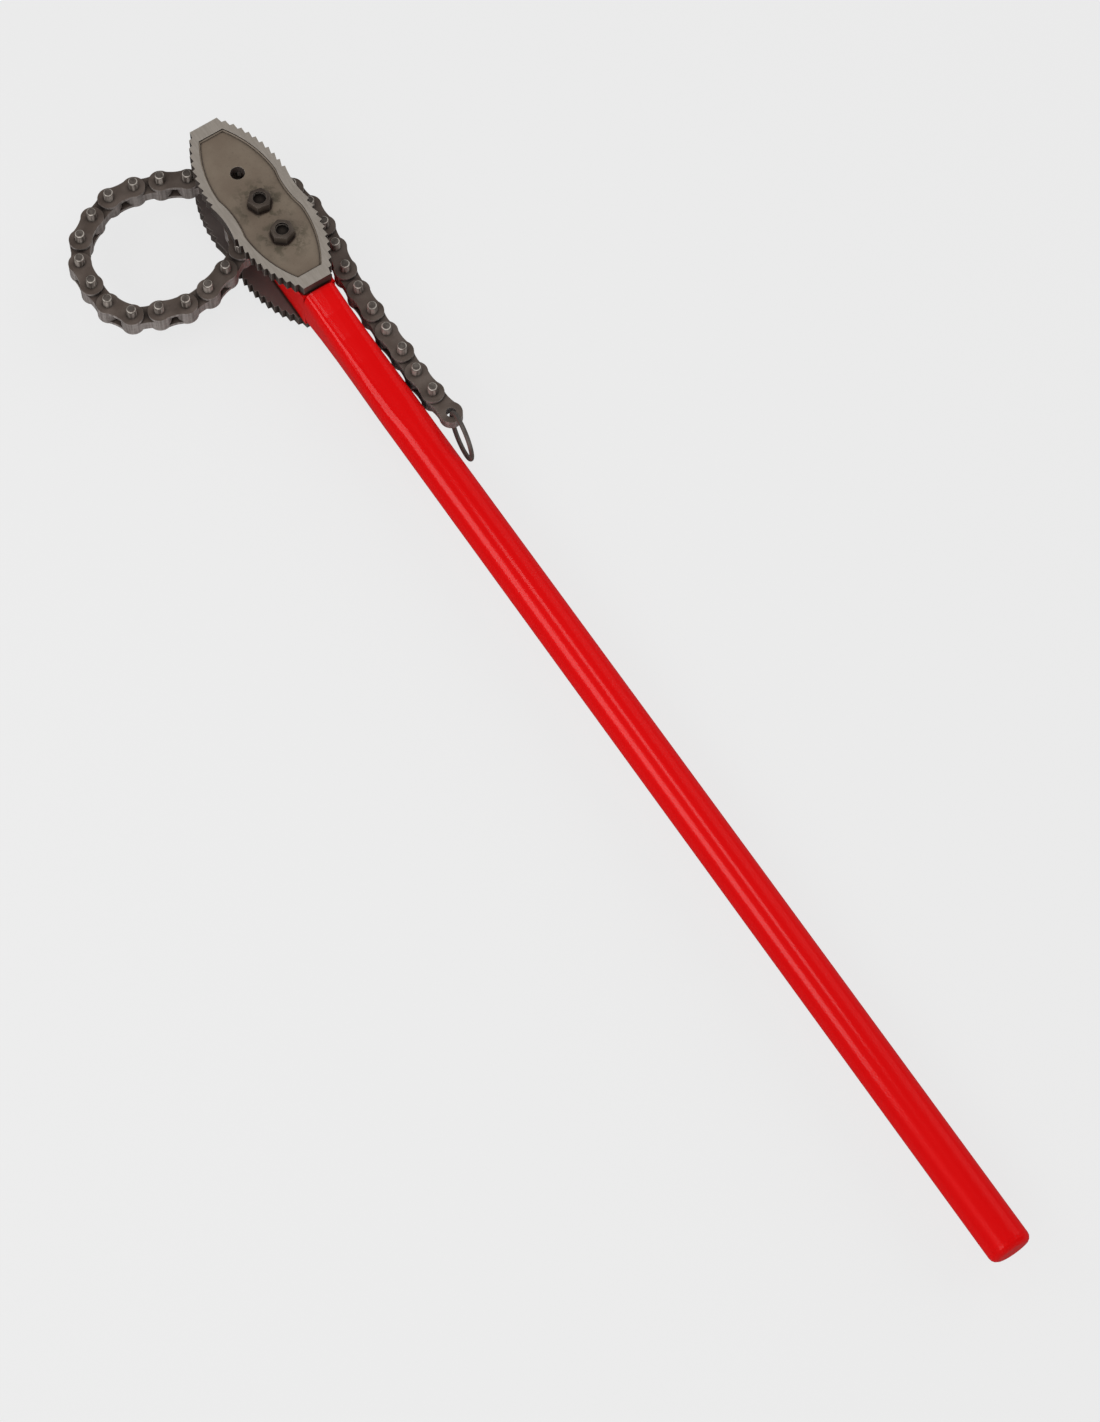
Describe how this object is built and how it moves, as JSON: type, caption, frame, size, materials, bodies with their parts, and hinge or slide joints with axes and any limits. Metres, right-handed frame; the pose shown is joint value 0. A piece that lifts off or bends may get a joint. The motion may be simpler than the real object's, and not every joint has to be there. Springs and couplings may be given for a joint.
{
  "type": "chain pipe wrench",
  "caption": "Chain pipe wrench: toothed double-ended jaw plates bolted to a long red handle, with a flat-link chain that wraps round a pipe.",
  "frame": {"origin": "middle of the footprint, on the surface that the wrench lies on", "axes": "+X from the jaws along the handle to its free end, +Z square to the jaw plates towards the nuts"},
  "size_m": [0.947, 0.1708, 0.0635],
  "materials": {
    "red_paint": "glossy red enamel on forged steel",
    "jaw_steel": "satin forged alloy steel with a bare sunk panel",
    "bolt_steel": "dull plain steel",
    "chain_steel": "dark oiled steel",
    "pin_steel": "dark oiled steel, ends ground bright",
    "ring_steel": "dark drawn wire"
  },
  "bodies": {
    "wrench": {"handle": "red_paint", "front_jaw": "jaw_steel", "back_jaw": "jaw_steel", "jaw_bolts": "bolt_steel", "jaw_nuts": "bolt_steel"},
    "link_01": {"anchor_link": "chain_steel"},
    "link_02": {"outer_plates_02": "chain_steel", "rivet_pins_02": "pin_steel"},
    "link_03": {"inner_link_03": "chain_steel"},
    "link_04": {"outer_plates_04": "chain_steel", "rivet_pins_04": "pin_steel"},
    "link_05": {"inner_link_05": "chain_steel"},
    "link_06": {"outer_plates_06": "chain_steel", "rivet_pins_06": "pin_steel"},
    "link_07": {"inner_link_07": "chain_steel"},
    "link_08": {"outer_plates_08": "chain_steel", "rivet_pins_08": "pin_steel"},
    "link_09": {"inner_link_09": "chain_steel"},
    "link_10": {"outer_plates_10": "chain_steel", "rivet_pins_10": "pin_steel"},
    "link_11": {"inner_link_11": "chain_steel"},
    "link_12": {"outer_plates_12": "chain_steel", "rivet_pins_12": "pin_steel"},
    "link_13": {"inner_link_13": "chain_steel"},
    "link_14": {"outer_plates_14": "chain_steel", "rivet_pins_14": "pin_steel"},
    "link_15": {"inner_link_15": "chain_steel"},
    "link_16": {"outer_plates_16": "chain_steel", "rivet_pins_16": "pin_steel"},
    "link_17": {"inner_link_17": "chain_steel"},
    "link_18": {"outer_plates_18": "chain_steel", "rivet_pins_18": "pin_steel"},
    "link_19": {"inner_link_19": "chain_steel"},
    "link_20": {"outer_plates_20": "chain_steel", "rivet_pins_20": "pin_steel"},
    "link_21": {"inner_link_21": "chain_steel"},
    "link_22": {"outer_plates_22": "chain_steel", "rivet_pins_22": "pin_steel"},
    "link_23": {"inner_link_23": "chain_steel"},
    "link_24": {"outer_plates_24": "chain_steel", "rivet_pins_24": "pin_steel"},
    "link_25": {"inner_link_25": "chain_steel"},
    "link_26": {"outer_plates_26": "chain_steel", "rivet_pins_26": "pin_steel"},
    "link_27": {"inner_link_27": "chain_steel"},
    "link_28": {"outer_plates_28": "chain_steel", "rivet_pins_28": "pin_steel"},
    "link_29": {"inner_link_29": "chain_steel"},
    "link_30": {"outer_plates_30": "chain_steel", "rivet_pins_30": "pin_steel"},
    "link_31": {"end_link": "chain_steel"},
    "ring": {"pull_ring": "ring_steel"}
  },
  "joints": [
    {"name": "anchor_turn", "type": "hinge", "parent": "wrench", "child": "link_01", "pos_m": [-0.39601, 0.04501, 0.0307], "axis": [0, 0, 1], "range_deg": [0, 15]},
    {"name": "link_02_turn", "type": "hinge", "parent": "link_01", "child": "link_02", "pos_m": [-0.40017, 0.02698, 0.0307], "axis": [0, 0, -1], "range_deg": [-20, 0]},
    {"name": "link_03_turn", "type": "hinge", "parent": "link_02", "child": "link_03", "pos_m": [-0.38302, 0.02005, 0.0307], "axis": [0, 0, 1], "range_deg": [0, 30]},
    {"name": "link_04_turn", "type": "hinge", "parent": "link_03", "child": "link_04", "pos_m": [-0.37462, 0.00357, 0.0307], "axis": [0, 0, -1], "range_deg": [-30, 0]},
    {"name": "link_05_turn", "type": "hinge", "parent": "link_04", "child": "link_05", "pos_m": [-0.3686, -0.01393, 0.0307], "axis": [0, 0, 1], "range_deg": [0, 30]},
    {"name": "link_06_turn", "type": "hinge", "parent": "link_05", "child": "link_06", "pos_m": [-0.36698, -0.03236, 0.0307], "axis": [0, 0, -1], "range_deg": [-30, 0]},
    {"name": "link_07_turn", "type": "hinge", "parent": "link_06", "child": "link_07", "pos_m": [-0.37239, -0.05005, 0.0307], "axis": [0, 0, 1], "range_deg": [0, 30]},
    {"name": "link_08_turn", "type": "hinge", "parent": "link_07", "child": "link_08", "pos_m": [-0.37992, -0.06695, 0.0307], "axis": [0, 0, -1], "range_deg": [-30, 0]},
    {"name": "link_09_turn", "type": "hinge", "parent": "link_08", "child": "link_09", "pos_m": [-0.3961, -0.07592, 0.0307], "axis": [0, 0, 1], "range_deg": [0, 30]},
    {"name": "link_10_turn", "type": "hinge", "parent": "link_09", "child": "link_10", "pos_m": [-0.41453, -0.07753, 0.0307], "axis": [0, 0, -1], "range_deg": [-30, 0]},
    {"name": "link_11_turn", "type": "hinge", "parent": "link_10", "child": "link_11", "pos_m": [-0.43293, -0.07559, 0.0307], "axis": [0, 0, 1], "range_deg": [0, 30]},
    {"name": "link_12_turn", "type": "hinge", "parent": "link_11", "child": "link_12", "pos_m": [-0.44862, -0.06579, 0.0307], "axis": [0, 0, -1], "range_deg": [-30, 0]},
    {"name": "link_13_turn", "type": "hinge", "parent": "link_12", "child": "link_13", "pos_m": [-0.45896, -0.05045, 0.0307], "axis": [0, 0, 1], "range_deg": [0, 30]},
    {"name": "link_14_turn", "type": "hinge", "parent": "link_13", "child": "link_14", "pos_m": [-0.46559, -0.03318, 0.0307], "axis": [0, 0, -1], "range_deg": [-30, 0]},
    {"name": "link_15_turn", "type": "hinge", "parent": "link_14", "child": "link_15", "pos_m": [-0.46398, -0.01475, 0.0307], "axis": [0, 0, 1], "range_deg": [0, 30]},
    {"name": "link_16_turn", "type": "hinge", "parent": "link_15", "child": "link_16", "pos_m": [-0.45826, 0.00284, 0.0307], "axis": [0, 0, -1], "range_deg": [-30, 0]},
    {"name": "link_17_turn", "type": "hinge", "parent": "link_16", "child": "link_17", "pos_m": [-0.44929, 0.01902, 0.0307], "axis": [0, 0, 1], "range_deg": [0, 30]},
    {"name": "link_18_turn", "type": "hinge", "parent": "link_17", "child": "link_18", "pos_m": [-0.44147, 0.03579, 0.0307], "axis": [0, 0, -1], "range_deg": [-30, 0]},
    {"name": "link_19_turn", "type": "hinge", "parent": "link_18", "child": "link_19", "pos_m": [-0.43308, 0.05227, 0.0307], "axis": [0, 0, 1], "range_deg": [0, 30]},
    {"name": "link_20_turn", "type": "hinge", "parent": "link_19", "child": "link_20", "pos_m": [-0.42094, 0.06623, 0.0307], "axis": [0, 0, -1], "range_deg": [-30, 0]},
    {"name": "link_21_turn", "type": "hinge", "parent": "link_20", "child": "link_21", "pos_m": [-0.40446, 0.07463, 0.0307], "axis": [0, 0, 1], "range_deg": [0, 30]},
    {"name": "link_22_turn", "type": "hinge", "parent": "link_21", "child": "link_22", "pos_m": [-0.38618, 0.07753, 0.0307], "axis": [0, 0, -1], "range_deg": [-30, 0]},
    {"name": "link_23_turn", "type": "hinge", "parent": "link_22", "child": "link_23", "pos_m": [-0.36769, 0.07721, 0.0307], "axis": [0, 0, 1], "range_deg": [0, 30]},
    {"name": "link_24_turn", "type": "hinge", "parent": "link_23", "child": "link_24", "pos_m": [-0.34937, 0.07463, 0.0307], "axis": [0, 0, -1], "range_deg": [-45, 0]},
    {"name": "link_25_turn", "type": "hinge", "parent": "link_24", "child": "link_25", "pos_m": [-0.33121, 0.0711, 0.0307], "axis": [0, 0, 1], "range_deg": [0, 45]},
    {"name": "link_26_turn", "type": "hinge", "parent": "link_25", "child": "link_26", "pos_m": [-0.31275, 0.06981, 0.0307], "axis": [0, 0, -1], "range_deg": [-45, 0]},
    {"name": "link_27_turn", "type": "hinge", "parent": "link_26", "child": "link_27", "pos_m": [-0.29426, 0.06917, 0.0307], "axis": [0, 0, 1], "range_deg": [0, 45]},
    {"name": "link_28_turn", "type": "hinge", "parent": "link_27", "child": "link_28", "pos_m": [-0.27577, 0.06852, 0.0307], "axis": [0, 0, -1], "range_deg": [-45, 0]},
    {"name": "link_29_turn", "type": "hinge", "parent": "link_28", "child": "link_29", "pos_m": [-0.25728, 0.06917, 0.0307], "axis": [0, 0, 1], "range_deg": [0, 45]},
    {"name": "link_30_turn", "type": "hinge", "parent": "link_29", "child": "link_30", "pos_m": [-0.2388, 0.06852, 0.0307], "axis": [0, 0, -1], "range_deg": [-45, 2]},
    {"name": "link_31_turn", "type": "hinge", "parent": "link_30", "child": "link_31", "pos_m": [-0.22032, 0.06949, 0.0307], "axis": [0, 0, 1], "range_deg": [-3, 45]},
    {"name": "ring_swing", "type": "hinge", "parent": "link_31", "child": "ring", "pos_m": [-0.202, 0.07206, 0.0307], "axis": [0, 0, -1], "range_deg": [-60, 5]}
  ]
}
